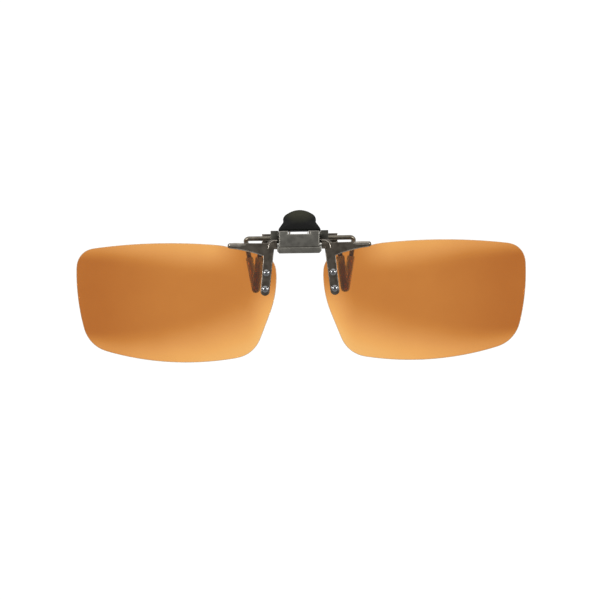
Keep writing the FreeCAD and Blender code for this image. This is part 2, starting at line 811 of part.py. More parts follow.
def rear_claws():
    """A wire that leaves the axle tube sideways, bends down and back over the wearer's rim and
    down again behind it, with a soft sleeve on its leg."""
    y, z = -dim("lever_ahead"), dim("lever_up")
    back = dim("wire_back")
    knee = (dim("wire_knee_x"), back, above_flip(-dim("wire_knee")))
    tip = (dim("wire_tip_x"), back, above_flip(-dim("wire_tip")))
    points = [(dim("wire_inner"), y, z), (dim("wire_out"), y, z), knee, tip]
    wire = sweep("claw_wire", dim("wire_radius"), points, dim("wire_bend").value)
    pair(wire, "rear_claw")

    outside, inside = dim("rear_sleeve"), dim("wire_radius")
    length = knee[2] - tip[2]
    slant = Rotation(Vector(0, 0, 1), Vector(float(knee[0] - tip[0]), 0, float(length)))
    skin = fuse(
        "rear_skin",
        cylinder("rear_tube", outside, length - dim("rear_start"), *tip, turn=slant),
        ball("rear_end", outside, *tip),
    )
    pair(cut("rear_claw_sleeve", skin, wire), "rear_claw_sleeve")


# ---------------------------------------------------------------------------------------------
# Assembly
# ---------------------------------------------------------------------------------------------
def check():
    """Stops if any object failed or any sub-part isn't a sound solid."""
    document.recompute()
    for thing in document.Objects:
        if "Invalid" in thing.State or "Error" in thing.State:
            raise RuntimeError(f"{thing.Name}: {thing.State}")
    for label, thing in subparts.items():
        shape = thing.Shape
        if shape.isNull() or not shape.isValid() or not shape.Solids:
            raise RuntimeError(f"{label}: not a sound solid")
        size = shape.BoundBox
        print(
            f"{label:26s} solids {len(shape.Solids)} volume {shape.Volume:9.3f} mm3"
            f"  x {size.XMin:7.2f} {size.XMax:7.2f}  y {size.YMin:6.2f} {size.YMax:6.2f}"
            f"  z {size.ZMin:7.2f} {size.ZMax:7.2f}"
        )


bridge_housing()
front_cover()
detent_spring()
front_claws()
flip_shaft()
detent_cam()
lens_bracket()
lens()
rivets()
washers()
lever_plate()
thumb_pad()
axle_tube()
lever_spring()
rear_claws()
check()

os.makedirs("parts", exist_ok=True)
for label, thing in subparts.items():
    thing.Shape.exportStep(f"parts/{label}.step")
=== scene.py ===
"""Looks of the clip-on flip lenses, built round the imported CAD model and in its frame.

Shapes are worked out in millimetres and scaled to metres as each piece is made. The front faces
-Y, and right is +X.
"""
import math

import bmesh
import bpy
from mathutils import Matrix, Vector
from mathutils.geometry import convex_hull_2d


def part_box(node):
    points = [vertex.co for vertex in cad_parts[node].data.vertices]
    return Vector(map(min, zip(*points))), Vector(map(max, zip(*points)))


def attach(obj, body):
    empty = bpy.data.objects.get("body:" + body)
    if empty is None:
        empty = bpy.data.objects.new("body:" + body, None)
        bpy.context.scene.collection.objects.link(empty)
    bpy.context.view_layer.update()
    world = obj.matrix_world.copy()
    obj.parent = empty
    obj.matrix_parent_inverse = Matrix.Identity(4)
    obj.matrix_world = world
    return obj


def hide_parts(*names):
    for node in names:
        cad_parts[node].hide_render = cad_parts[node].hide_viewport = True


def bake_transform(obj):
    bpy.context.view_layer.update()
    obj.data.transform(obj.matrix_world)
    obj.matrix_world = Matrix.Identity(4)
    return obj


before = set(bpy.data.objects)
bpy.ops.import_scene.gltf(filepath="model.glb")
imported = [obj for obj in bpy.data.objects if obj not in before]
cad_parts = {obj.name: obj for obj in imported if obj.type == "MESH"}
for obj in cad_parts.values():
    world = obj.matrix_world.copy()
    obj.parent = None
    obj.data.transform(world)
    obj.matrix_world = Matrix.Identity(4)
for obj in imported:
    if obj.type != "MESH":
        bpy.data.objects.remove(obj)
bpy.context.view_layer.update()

MM = 0.001
SIDES = (("right", 1), ("left", -1))


# ---------------------------------------------------------------------------------------------
# Sizes, in millimetres
# ---------------------------------------------------------------------------------------------
def node_box(node):
    """Lowest and highest corner of a CAD node, in millimetres."""
    low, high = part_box(node)
    return low / MM, high / MM


def node_middle(node):
    low, high = node_box(node)
    return (low + high) / 2


FLIP = node_middle("flip_shaft")  # a point of the flip axis
LEVER = node_middle("axle_tube")  # a point of the lever's axis
LENS_RADIUS = 260.0  # of the lens's front surface
LENS_THICK = 1.1
PLATE_FRONT = -7.5  # front and rear of the bracket's flat plate
PLATE_BACK = -6.7
STEM_HALF = 1.36
STEM_TOP_X = 9.3
STEM_END_X = 10.3
STEM_END = 13.45  # below the flip axis
KNUCKLE_X = node_box("lens_bracket_right")[0].x  # where the elbow meets the bridge
WING_REACH = node_box("lens_bracket_right")[1].x
KNUCKLE = 1.5  # radius of the elbow's bar
RIVET_HEAD = 1.0
RIVET_SHANK = 0.55
RIVET_MIDDLE = node_middle("lens_rivets_right")  # the lens is square to the front here
WIRE = 0.7  # radius of the rear claws' wire
LEAN = math.radians(-22)  # of the lever, from upright
LEVER_FRAME = Matrix.Translation(LEVER) @ Matrix.Rotation(LEAN, 4, "X")


# ---------------------------------------------------------------------------------------------
# Materials
# ---------------------------------------------------------------------------------------------
def shade(red, green, blue):
    """A colour given as it looks on a screen, 0 to 255, as a linear one."""
    def linear(value):
        value /= 255
        return value / 12.92 if value <= 0.04045 else ((value + 0.055) / 1.055) ** 2.4

    return (linear(red), linear(green), linear(blue), 1.0)


def map_range(tree, source, start, end, low, high):
    """A shader value from start to end, carried over to low to high."""
    scaled = tree.nodes.new("ShaderNodeMapRange")
    limits = (("From Min", start), ("From Max", end), ("To Min", low), ("To Max", high))
    for socket, value in limits:
        scaled.inputs[socket].default_value = value
    tree.links.new(source, scaled.inputs["Value"])
    return scaled.outputs["Result"]


class Look:
    """A material: one Principled shader and the textures that drive it. Sizes in millimetres."""

    def __init__(self, name, **sockets):
        self.material = bpy.data.materials.new(name)
        self.material.use_nodes = True
        self.tree = self.material.node_tree
        self.shader = self.tree.nodes["Principled BSDF"]
        self.place = self.node("ShaderNodeTexCoord").outputs["Object"]
        for socket, value in sockets.items():
            self.shader.inputs[socket.replace("_", " ")].default_value = value

    def node(self, kind):
        return self.tree.nodes.new(kind)

    def link(self, source, target):
        self.tree.links.new(source, target)

    def drive(self, socket, source):
        self.link(source, self.shader.inputs[socket])

    def noise(self, size, detail=3.0, stretch=(1, 1, 1)):
        """Soft blotches about this size across, drawn out along the axes with a small stretch."""
        mapping = self.node("ShaderNodeMapping")
        mapping.inputs["Scale"].default_value = stretch
        self.link(self.place, mapping.inputs["Vector"])
        texture = self.node("ShaderNodeTexNoise")
        texture.inputs["Scale"].default_value = 1 / (size * MM)
        texture.inputs["Detail"].default_value = detail
        self.link(mapping.outputs["Vector"], texture.inputs["Vector"])
        return texture.outputs["Fac"]

    def spread(self, source, low, high, start=0.3, end=0.7):
        """A value from start to end, spread over low to high. Noise keeps to 0.3 to 0.7."""
        return map_range(self.tree, source, start, end, low, high)

    def scaled_sum(self, value, factor, added):
        """value * factor + added, where only the factor is a plain number."""
        node = self.node("ShaderNodeMath")
        node.operation = "MULTIPLY_ADD"
        self.link(value, node.inputs[0])
        node.inputs[1].default_value = factor
        self.link(added, node.inputs[2])
        return node.outputs[0]

    def square(self, value):
        node = self.node("ShaderNodeMath")
        node.operation = "MULTIPLY"
        self.link(value, node.inputs[0])
        self.link(value, node.inputs[1])
        return node.outputs[0]

    def ramp(self, source, *stops):
        """Colours by position, each stop (position, colour)."""
        ramp = self.node("ShaderNodeValToRGB")
        elements = ramp.color_ramp.elements
        while len(elements) < len(stops):
            elements.new(0.5)
        for element, (position, colour) in zip(elements, stops):
            element.position = position
            element.color = colour
        self.link(source, ramp.inputs["Fac"])
        return ramp.outputs["Color"]

    def bump(self, source, height):
        bump = self.node("ShaderNodeBump")
        bump.inputs["Distance"].default_value = height * MM
        self.link(source, bump.inputs["Height"])
        self.drive("Normal", bump.outputs["Normal"])


def metal(name, dark, light, rough, grain, stretch=(1, 1, 1)):
    """Plated metal: blotchy colour, uneven gloss and a fine grain."""
    blotch, relief = 1.6, 0.004
    look = Look(name, Metallic=1.0)
    look.drive("Base Color", look.ramp(look.noise(blotch, 4), (0.35, dark), (0.65, light)))
    texture = look.noise(grain, 4, stretch)
    look.drive("Roughness", look.spread(texture, *rough))
    look.bump(texture, relief)
    return look.material


def brushed(name, dark, light):
    """Satin metal, brushed along its width."""
    return metal(name, dark, light, (0.34, 0.46), 0.25, (0.15, 1, 1))


def gunmetal():
    """The bridge box's front cover."""
    return brushed("gunmetal", shade(90, 88, 83), shade(104, 102, 96))


def gunmetal_painted_shade():
    """The box's shell and ears: the cover's gunmetal painted darker, as painted shade."""
    return brushed("gunmetal_painted_shade", shade(62, 61, 56), shade(76, 75, 69))


def gunmetal_edge():
    """Where the box's corners are rubbed bright."""
    return metal("gunmetal_edge", shade(92, 90, 84), shade(107, 104, 98), (0.46, 0.56), 0.2)


def black_steel():
    """Dark plated brackets, claws and lever."""
    return metal("black_steel", shade(72, 66, 59), shade(92, 86, 78), (0.28, 0.4), 0.3)


def wire_steel():
    """The rear claws' drawn wire, a shade lighter than the strips."""
    return metal("wire_steel", shade(90, 84, 74), shade(108, 102, 91), (0.3, 0.42), 0.3)


def black_steel_wear_and_highlight():
    """Where the dark plating is rubbed bright at rounded edges, and the painted highlights on the
    bracket.
    """
    return metal("black_steel_wear_and_highlight", shade(118, 112, 104), shade(146, 140, 131), (0.22, 0.32), 0.2)


def bright_steel():
    """Drawn spring and axle steel, with lines along its length."""
    dark, light = shade(150, 148, 142), shade(186, 184, 178)
    return metal("bright_steel", dark, light, (0.18, 0.3), 0.12, (0.1, 1, 1))


def gloss_black():
    """The rivets: black lacquer, glossy enough to mirror the lamps."""
    coat = {"Coat_Weight": 1.0, "Coat_Roughness": 0.02, "Coat_IOR": 2.2}
    look = Look("gloss_black", Specular_IOR_Level=0.0, **coat)
    stops = (0.3, shade(5, 5, 8)), (0.7, shade(12, 13, 18))
    look.drive("Base Color", look.ramp(look.noise(0.8), *stops))
    look.drive("Roughness", look.spread(look.noise(0.15), 0.3, 0.4))
    return look.material


def black_rubber():
    """The thumb pad: near black, with a fine moulded grain and a painted olive sheen that starts
    above its waist and fades towards its sides."""
    # where the painted olive sheen lies: above the waist, fading towards the sides
    painted_sheen_low, painted_sheen_high, painted_sheen_half = 15.5 * MM, 19.0 * MM, 4.3 * MM
    at_sides, unevenness = -0.5, 0.12
    look = Look("black_rubber", Specular_IOR_Level=0.12)
    split = look.node("ShaderNodeSeparateXYZ")
    look.link(look.place, split.inputs["Vector"])
    painted_sheen = look.spread(split.outputs["Z"], 0.0, 1.0, painted_sheen_low, painted_sheen_high)
    centred = look.scaled_sum(look.square(split.outputs["X"]), at_sides / painted_sheen_half ** 2, painted_sheen)
    uneven = look.scaled_sum(look.spread(look.noise(3.0, 2), -1.0, 1.0), unevenness, centred)
    # the ramp's olive end is the painted sheen
    look.drive("Base Color", look.ramp(uneven, (0.1, shade(6, 6, 5)), (0.95, shade(33, 33, 23))))
    grain = look.noise(0.14, 5)
    look.drive("Roughness", look.spread(grain, 0.42, 0.62))
    look.bump(grain, 0.02)
    return look.material


def vinyl(name, dark, light, clear):
    """A soft sleeve: faintly waxy, and see-through by the share clear."""
    look = Look(name, Transmission_Weight=clear, IOR=1.45)
    look.drive("Base Color", look.ramp(look.noise(1.2, 3), (0.3, dark), (0.7, light)))
    texture = look.noise(0.3, 4)
    look.drive("Roughness", look.spread(texture, 0.34, 0.5))
    look.bump(texture, 0.01)
    return look.material


def smoke_vinyl():
    """The front sleeves."""
    return vinyl("smoke_vinyl", shade(142, 152, 150), shade(162, 172, 170), 0.25)


def pale_vinyl():
    """The rear sleeves."""
    return vinyl("pale_vinyl", shade(208, 216, 214), shade(230, 237, 235), 0.45)


def clear_nylon():
    """The washers."""
    look = Look("clear_nylon", Transmission_Weight=0.7, IOR=1.53)
    stops = (0.3, shade(214, 210, 200)), (0.7, shade(236, 233, 226))
    look.drive("Base Color", look.ramp(look.noise(0.6), *stops))
    texture = look.noise(0.2)
    look.drive("Roughness", look.spread(texture, 0.2, 0.34))
    look.bump(texture, 0.004)
    return look.material


def lens_tint():
    """Amber-brown resin, faintly mottled, as pale at each point as the mesh's stored paleness says,
    with painted reflections along its edges and painted shade towards the temple.
    """
    mottling = 0.015
    look = Look("lens_tint", Transmission_Weight=1.0, IOR=1.5, Specular_IOR_Level=0.12)
    # the stored paleness holds the painted reflections and painted shade
    paleness_with_painted_light = look.node("ShaderNodeAttribute")
    paleness_with_painted_light.attribute_name = "paleness_with_painted_light"
    blotches = look.spread(look.noise(9.0, 2), -1.0, 1.0)
    mottled = look.scaled_sum(blotches, mottling, paleness_with_painted_light.outputs["Fac"])
    stops = (
        (0.0, shade(176, 99, 22)),
        (0.25, shade(198, 124, 46)),
        (0.5, shade(219, 149, 74)),
        (0.7, shade(234, 168, 88)),
        (1.0, shade(248, 198, 122)),
    )
    look.drive("Base Color", look.ramp(mottled, *stops))
    look.drive("Roughness", look.spread(look.noise(4.0), 0.0, 0.02))
    look.bump(look.noise(12.0, 1), 0.002)
    return look.material


def ground_edge():
    """The lens's edge, ground to a grey satin."""
    look = Look("ground_edge", Transmission_Weight=0.6, IOR=1.5)
    stops = (0.3, shade(150, 128, 108)), (0.7, shade(182, 160, 138))
    look.drive("Base Color", look.ramp(look.noise(0.8), *stops))
    texture = look.noise(0.25, 4)
    look.drive("Roughness", look.spread(texture, 0.3, 0.5))
    look.bump(texture, 0.006)
    return look.material


# ---------------------------------------------------------------------------------------------
# Shapes
# ---------------------------------------------------------------------------------------------
def arc(start, via, end, steps=12):
    """Points of the arc from start through via to end, without start itself."""
    (ax, ay), (bx, by), (cx, cy) = start, via, end
    twice = 2 * (ax * (by - cy) + bx * (cy - ay) + cx * (ay - by))
    a2, b2, c2 = ax * ax + ay * ay, bx * bx + by * by, cx * cx + cy * cy
    x = (a2 * (by - cy) + b2 * (cy - ay) + c2 * (ay - by)) / twice
    y = (a2 * (cx - bx) + b2 * (ax - cx) + c2 * (bx - ax)) / twice
    radius = math.hypot(ax - x, ay - y)
    first, middle, last = (math.atan2(v - y, u - x) for u, v in (start, via, end))
    sweep = (last - first) % math.tau
    if (middle - first) % math.tau > sweep:
        sweep -= math.tau
    angles = [first + sweep * (i + 1) / steps for i in range(steps)]
    return [(x + radius * math.cos(a), y + radius * math.sin(a)) for a in angles]


def even(outline, count, rounds=0):
    """A closed outline as evenly spaced points, softened by some rounds of averaging."""
    ends = outline[1:] + outline[:1]
    steps = [math.dist(a, b) for a, b in zip(outline, ends)]
    total, points, walked, index = sum(steps), [], 0.0, 0
    for number in range(count):
        target = total * number / count
        while walked + steps[index] < target:
            walked += steps[index]
            index += 1
        share = (target - walked) / steps[index]
        (ax, az), (bx, bz) = outline[index], ends[index]
        points.append((ax + (bx - ax) * share, az + (bz - az) * share))
    for _ in range(rounds):
        points = [
            ((a[0] + 2 * b[0] + c[0]) / 4, (a[1] + 2 * b[1] + c[1]) / 4)
            for a, b, c in zip(points[-1:] + points[:-1], points, points[1:] + points[:1])
        ]
    return points


def loft(bm, rings, closed=False):
    """Skins a row of rings of equally many points, and caps its ends unless it is closed."""
    rows = [[bm.verts.new(point) for point in ring] for ring in rings]
    following = rows[1:] + rows[:1] if closed else rows[1:]
    for row, after in zip(rows, following):
        for i in range(len(row)):
            j = (i + 1) % len(row)
            bm.faces.new((row[i], row[j], after[j], after[i]))
    if not closed:
        bm.faces.new(rows[0][::-1])
        bm.faces.new(rows[-1])
    return rows


def lathe(bm, centre, axis, profile, around=40, closed=False):
    """Turns a profile of (distance along the axis, radius) about an axis through centre."""
    axis = Vector(axis).normalized()
    across = axis.orthogonal().normalized()
    up = axis.cross(across)
    turns = [math.tau * i / around for i in range(around)]
    rings = [
        [centre + axis * along + (across * math.cos(t) + up * math.sin(t)) * radius for t in turns]
        for along, radius in profile
    ]
    loft(bm, rings, closed)


def bent(points, radius, steps=10):
    """Straight runs through points, with each corner rounded by a tangent arc."""
    path = [points[0]]
    for before, corner, after in zip(points, points[1:], points[2:]):
        arrive, leave = (corner - before).normalized(), (after - corner).normalized()
        half = arrive.angle(leave) / 2
        reach = radius * math.tan(half)
        inward = (leave - arrive).normalized()
        centre = corner + inward * (radius / math.cos(half))
        start = corner - arrive * reach - centre
        axis = arrive.cross(leave)
        for step in range(steps + 1):
            path.append(centre + Matrix.Rotation(2 * half * step / steps, 3, axis) @ start)
    path.append(points[-1])
    return path


def tube(bm, path, radius, around=24, ends=(True, True)):
    """A bar of round section along a path. Its chosen ends are domes. radius may be a function of
    the share of the path's length."""
    size = radius if callable(radius) else lambda share: radius
    lengths = [0.0]
    for a, b in zip(path, path[1:]):
        lengths.append(lengths[-1] + (b - a).length)
    dome = [math.radians(angle) for angle in (80, 60, 40, 20)]
    before, after = path[:1] + path[:-1], path[1:] + path[-1:]
    tangents = [(b - a).normalized() for a, b in zip(before, after)]

    def cap(end, tangent, r, outward):
        shifted = [(end + tangent * outward * r * math.sin(a), r * math.cos(a)) for a in dome]
        return [(point, tangent, radius_there) for point, radius_there in shifted]

    stations = cap(path[0], tangents[0], size(0), -1) if ends[0] else []
    for point, tangent, along in zip(path, tangents, lengths):
        stations.append((point, tangent, size(along / lengths[-1])))
    if ends[1]:
        stations += cap(path[-1], tangents[-1], size(1), 1)[::-1]
    across = tangents[0].orthogonal().normalized()
    rings = []
    for point, tangent, r in stations:
        across = (across - tangent * across.dot(tangent)).normalized()
        up = tangent.cross(across)
        turns = [math.tau * i / around for i in range(around)]
        ring = [point + (across * math.cos(t) + up * math.sin(t)) * r for t in turns]
        rings.append(ring)
    loft(bm, rings)


def rounded(bm, edges, width, segments, material):
    """Rounds off edges; the roundings take the given material."""
    bmesh.ops.bevel(
        bm,
        geom=edges,
        offset=width,
        segments=segments,
        profile=0.5,
        affect="EDGES",
        clamp_overlap=True,
        material=material,
    )


def slab(bm, outline, front, back, rounding):
    """A flat plate cut to an outline, with rounded rims."""
    rims = [[bm.verts.new((x, y, z)) for x, z in outline] for y in (front, back)]
    faces = [bm.faces.new(rim) for rim in rims]
    for i in range(len(outline)):
        j = (i + 1) % len(outline)
        faces.append(bm.faces.new((rims[0][i], rims[0][j], rims[1][j], rims[1][i])))
    edges = [bm.edges.get((a, b)) for rim in rims for a, b in zip(rim, rim[1:] + rim[:1])]
    bmesh.ops.recalc_face_normals(bm, faces=faces)
    rounded(bm, edges, rounding, 3, 0)


def evaluated_copy(thing):
    """A mesh with the object's modifiers applied. The object is removed."""
    bpy.context.view_layer.update()
    shown = thing.evaluated_get(bpy.context.evaluated_depsgraph_get())
    mesh = bpy.data.meshes.new_from_object(shown)
    bpy.data.objects.remove(thing)
    return mesh


def melted(bm, voxel, rounds):
    """One skin over overlapping solids, with the corners between them softened."""
    mesh = bpy.data.meshes.new("rough")
    bmesh.ops.recalc_face_normals(bm, faces=bm.faces)
    bm.to_mesh(mesh)
    bm.free()
    rough = bpy.data.objects.new("rough", mesh)
    bpy.context.scene.collection.objects.link(rough)
    skin = rough.modifiers.new("skin", "REMESH")
    skin.mode = "VOXEL"
    skin.voxel_size = voxel
    soften = rough.modifiers.new("soften", "SMOOTH")
    soften.iterations = rounds
    joined = bmesh.new()
    joined.from_mesh(evaluated_copy(rough))
    return joined


def piece(name, bm, looks, body, nodes, sharp=40):
    """Finishes a piece: mesh in metres, materials, and its place on a CAD body. Edges that turn by
    more than sharp degrees stay crisp."""
    bmesh.ops.recalc_face_normals(bm, faces=bm.faces)
    bm.transform(Matrix.Scale(MM, 4))
    mesh = bpy.data.meshes.new(name)
    bm.to_mesh(mesh)
    bm.free()
    for look in looks:
        mesh.materials.append(look)
    mesh.shade_smooth()
    mesh.set_sharp_from_angle(angle=math.radians(sharp))
    made = bpy.data.objects.new(name, mesh)
    bpy.context.scene.collection.objects.link(made)
    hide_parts(*nodes)
    if body:
        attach(made, body)
    return made


def both_sides(name, build, looks, body, node, sharp=40):
    """The right-hand piece and its mirror image, each for its own CAD node."""
    for side, turn in SIDES:
        bm = build()
        if turn < 0:
            bmesh.ops.scale(bm, vec=(-1, 1, 1), verts=bm.verts)
            bmesh.ops.reverse_faces(bm, faces=bm.faces)
        piece(f"{name}_{side}", bm, looks, body, [f"{node}_{side}"], sharp)


def softened(node, width):
    """A CAD piece's own shape with its sharp edges rounded; the roundings take material 1."""
    weld, flat, sharp = 0.001, math.radians(1), math.radians(35)
    bm = bmesh.new()
    bm.from_mesh(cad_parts[node].data)
    bm.transform(Matrix.Scale(1 / MM, 4))
    for face in bm.faces:
        face.material_index = 0
    bmesh.ops.remove_doubles(bm, verts=bm.verts, dist=weld)
    bmesh.ops.dissolve_limit(bm, angle_limit=flat, verts=bm.verts, edges=bm.edges)
    edges = [edge for edge in bm.edges if edge.is_manifold and edge.calc_face_angle() > sharp]
    rounded(bm, edges, width, 2, 1)
    return bm


# ---------------------------------------------------------------------------------------------
# Lens unit
# ---------------------------------------------------------------------------------------------
def lens_outline():
    """The right-hand lens's edge, read from the CAD lens, as evenly spaced points."""
    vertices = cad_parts["lens_right"].data.vertices
    corners = [Vector((vert.co.x, vert.co.z)) / MM for vert in vertices]
    hull = [tuple(corners[i]) for i in convex_hull_2d(corners)]
    return even(hull, 256, 3)


def lens_depth(x, z, layer):
    """Y of the lens's surface: layer 0 is its front and 1 its rear."""
    radius = LENS_RADIUS - LENS_THICK * layer
    across = (x - RIVET_MIDDLE.x) ** 2 + (z - RIVET_MIDDLE.z) ** 2
    return PLATE_BACK + LENS_RADIUS - math.sqrt(radius * radius - across)


def fade(value, full, none):
    """1 at full and 0 at none, smooth between."""
    share = min(max((value - none) / (full - none), 0.0), 1.0)
    return share * share * (3 - 2 * share)


def lens_paleness_with_painted_light_at(x, z, low, high):
    """How pale the lens looks at a point of the right-hand lens, 0 to 1: tint and painted light.
    It is darkest towards the temple, painted shade, and pale in a narrow band along the upper edge,
    a wide one along the lower edge and beside the nose, painted reflections."""
    across = (x - low.x) / (high.x - low.x)  # from the nose, 0 to 1
    down = (high.z - z) / (high.z - low.z)  # from the top, 0 to 1

    # the drop towards the temple is painted shade
    middle, temple_drop = 0.19, 0.17
    pale = middle - temple_drop * fade(across, 0.97, 0.45)

    # the pale bands along the edges and beside the nose are painted reflections
    upper_peak, upper_flatness = 46.0, 612  # the upper edge as a shallow arc
    below_upper = high.z - (x - upper_peak) ** 2 / upper_flatness - z
    upper_deep = 9.8 - 5.0 * max(across - 0.45, 0) * 2  # the band narrows towards the temple
    upper_strong = (0.56 - 0.16 * across) * fade(across, 0.34, 0.12)
    pale += upper_strong * fade(below_upper, 0.0, upper_deep)

    lower_peak, lower_flatness = 33.0, 176  # the lower edge likewise
    over_lower = z - low.z - (x - lower_peak) ** 2 / lower_flatness
    lower_deep, lower_strong = 23.0 - 20.0 * across, 0.68 - 0.34 * across
    rise = lower_strong * fade(over_lower, 0.0, lower_deep)

    nose_wide, nose_strong = 10.0, 0.36
    nose = nose_strong * fade(x - low.x, 1.0, nose_wide) * fade(down, 0.55, 0.25)
    pale += rise + nose * (1 - rise)
    return min(max(pale, 0.0), 1.0)


def lens_shell():
    """A lens as two spherical sheets and a ground edge with bevelled rims. Each sheet is rings
    inset from the rim, and then rings that shrink towards the middle."""
    low, high = node_box("lens_right")
    middle = Vector(((low.x + high.x) / 2, (low.z + high.z) / 2))
    bevel_deep = 0.12
    insets = (0.16, 0.7, 1.4, 2.2, 3.2, 4.4, 6.0, 8.0, 10.5)  # the first is the bevel's width
    shares = [0.9 - 0.08 * step for step in range(12)]
    rays = [Vector(point) - middle for point in lens_outline()]

    def ring(inset, layer, shift=0.0, share=1.0):
        points = []
        for ray in rays:
            x, z = middle + (ray - ray.normalized() * inset) * share
            points.append(Vector((x, lens_depth(x, z, layer) + shift, z)))
        return points

    sheet = [(inset, 1.0) for inset in insets] + [(insets[-1], share) for share in shares]
    rings = [ring(inset, 0, 0.0, share) for inset, share in sheet[::-1]]
    rings += [ring(0, 0, bevel_deep), ring(0, 1, -bevel_deep)]
    rings += [ring(inset, 1, 0.0, share) for inset, share in sheet]
    bm = bmesh.new()
    # each point stores the lens's paleness, painted reflections and painted shade included
    paleness_with_painted_light = bm.verts.layers.float.new("paleness_with_painted_light")
    rows = loft(bm, rings)
    for row in rows:
        for vert in row:
            vert[paleness_with_painted_light] = lens_paleness_with_painted_light_at(vert.co.x, vert.co.z, low, high)
    rim = set(rows[len(sheet)]) | set(rows[len(sheet) + 1])
    for face in bm.faces:
        if any(vert in rim for vert in face.verts):
            face.material_index = 1
    return bm


def flat_path(points, y):
    """Points (x, height over the flip axis) at one depth."""
    return [Vector((x, y, FLIP.z + up)) for x, up in points]


def wing_lower_edge():
    """The wing's lower edge, from the stem to its bulbous end, over the flip axis."""
    root, end = (STEM_TOP_X + STEM_HALF, -3.1), (WING_REACH - 0.9, -0.72)
    waist = (WING_REACH - 5.6, -1.5)
    return [root] + arc(root, waist, end, 20)


def plate_outline():
    """The bracket's flat plate, over the flip axis: the stem's round foot, the wing, and the
    rounded corner that flares towards the bridge."""
    top, corner, flare = 0.7, -0.9, 0.5
    foot = [(STEM_END_X - STEM_HALF, -STEM_END), (STEM_END_X + STEM_HALF, -STEM_END)]
    bulb_top = (WING_REACH - 0.9, 0.85)
    neck, flared = (STEM_TOP_X, top), (STEM_TOP_X - STEM_HALF - flare, corner)
    lower_edge = wing_lower_edge()
    outline = [foot[0]]
    outline += arc(foot[0], (STEM_END_X, -STEM_END - STEM_HALF), foot[1], 24)
    outline += lower_edge
    outline += arc(lower_edge[-1], (WING_REACH, 0.065), bulb_top, 10)
    outline += [neck]
    outline += arc(neck, (STEM_TOP_X - 1.35, (top + corner) / 2), flared, 10)
    return outline


def bracket_painted_highlights(bm):
    """Painted highlights on the bracket, as added pieces in the lighter edge material: a bevel
    along the wing's lower edge, a bead round the elbow's shoulder, and the swelling of the wing's
    tip."""
    bevel, bead, sunk = 0.13, 0.2, 0.12
    bevel_path = [(x, up + 0.06) for x, up in wing_lower_edge()]
    tube(bm, flat_path(bevel_path, PLATE_FRONT + 0.1), bevel, 12)
    shoulder = [(KNUCKLE_X, 1.35), (7.7, 1.35), (8.85, 0.5), (9.1, -0.9)]
    tube(bm, bent(flat_path(shoulder, FLIP.y - KNUCKLE + sunk), 0.9, 6), bead, 12)
    tip = [(WING_REACH - back, 0.3) for back in (6.0, 4.4, 2.8, 1.8, 0.8)]

    def swelling(share):
        return 0.22 + 0.4 * math.sin(math.pi * (0.1 + 0.62 * share))

    tube(bm, flat_path(tip, (PLATE_FRONT + PLATE_BACK) / 2), swelling, 24)


def bracket():
    """Stem, wing with a rolled upper edge, and elbow, as one casting, with its painted highlights.
    """
    rim, roll_radius, bend = 0.22, 0.42, 1.5
    taper = 0.36  # the elbow's bar thins as it runs into the plate
    voxel, smoothing = 0.1, 4
    bm = bmesh.new()
    outline = [(x, FLIP.z + up) for x, up in plate_outline()]
    slab(bm, outline, PLATE_FRONT, PLATE_BACK, rim)
    roll = [(STEM_TOP_X, 0.25), (14.5, 0.33), (WING_REACH - 2.4, 0.2)]
    tube(bm, flat_path(roll, (PLATE_FRONT + PLATE_BACK) / 2), roll_radius, 20)
    elbow = bent(flat_path([(KNUCKLE_X, 0.3), (8.35, 0.3), (9.3, -1.2)], FLIP.y), bend, 14)
    tube(bm, elbow, lambda share: KNUCKLE - taper * share * share, 32, (False, True))
    skin = melted(bm, voxel, smoothing)
    # the pieces added after the skin take material 1 as painted highlights
    plain = len(skin.faces)
    bracket_painted_highlights(skin)
    skin.faces.ensure_lookup_table()
    for face in skin.faces[plain:]:
        face.material_index = 1
    return skin


def rivet_places():
    """Middles of the two rivets of the right-hand lens, from the corners of their CAD node."""
    low, high = node_box("lens_rivets_right")
    return [
        (low.x + RIVET_HEAD, high.z - RIVET_HEAD),
        (high.x - RIVET_HEAD, low.z + RIVET_HEAD),
    ]


def rivets():
    """Domed heads in front, shanks, and peened tails behind."""
    low, high = node_box("lens_rivets_right")
    thick = high.y - low.y
    sphere = 1.184  # radius of the dome
    crown = [math.radians(angle) for angle in range(6, 59, 8)]
    profile = [(0.0, 0.02)]
    profile += [(sphere * (1 - math.cos(a)), sphere * math.sin(a)) for a in crown]
    profile += [(0.5, RIVET_HEAD), (0.55, 0.97), (0.56, RIVET_SHANK)]
    tail = [
        (0.29, RIVET_SHANK), (0.29, 0.8), (0.22, 0.85), (0.1, 0.82),
        (0.01, 0.66), (0.0, 0.45), (0.07, 0.22), (0.09, 0.02),
    ]
    profile += [(thick - ahead, radius) for ahead, radius in tail]
    bm = bmesh.new()
    for x, z in rivet_places():
        lathe(bm, Vector((x, low.y, z)), (0, 1, 0), profile)
    return bm


def hollow(long, outside, inside, soft):
    """Profile of a tube or ring with softened rims."""
    return [
        (0, inside + soft), (0, outside - soft), (soft, outside), (long - soft, outside),
        (long, outside - soft), (long, inside + soft), (long - soft, inside), (soft, inside),
    ]


def washers():
    """Rounded nylon rings behind the lens."""
    low, high = node_box("lens_washers_right")
    outside, clearance, soft = 1.2, 0.02, 0.08
    profile = hollow(high.y - low.y, outside, RIVET_SHANK + clearance, soft)
    bm = bmesh.new()
    for x, z in rivet_places():
        lathe(bm, Vector((x, low.y, z)), (0, 1, 0), profile, closed=True)
    return bm


# ---------------------------------------------------------------------------------------------
# Claws
# ---------------------------------------------------------------------------------------------
def flattened(centre, across, wide, thick):
    """One ring of a flattened round section."""
    points, squareness = 32, 0.8
    ring = []
    for i in range(points):
        turn = math.tau * i / points
        c, s = math.cos(turn), math.sin(turn)
        u = math.copysign(abs(c) ** squareness, c) * wide
        v = math.copysign(abs(s) ** squareness, s) * thick
        ring.append(centre + across * u + Vector((0, v, 0)))
    return ring


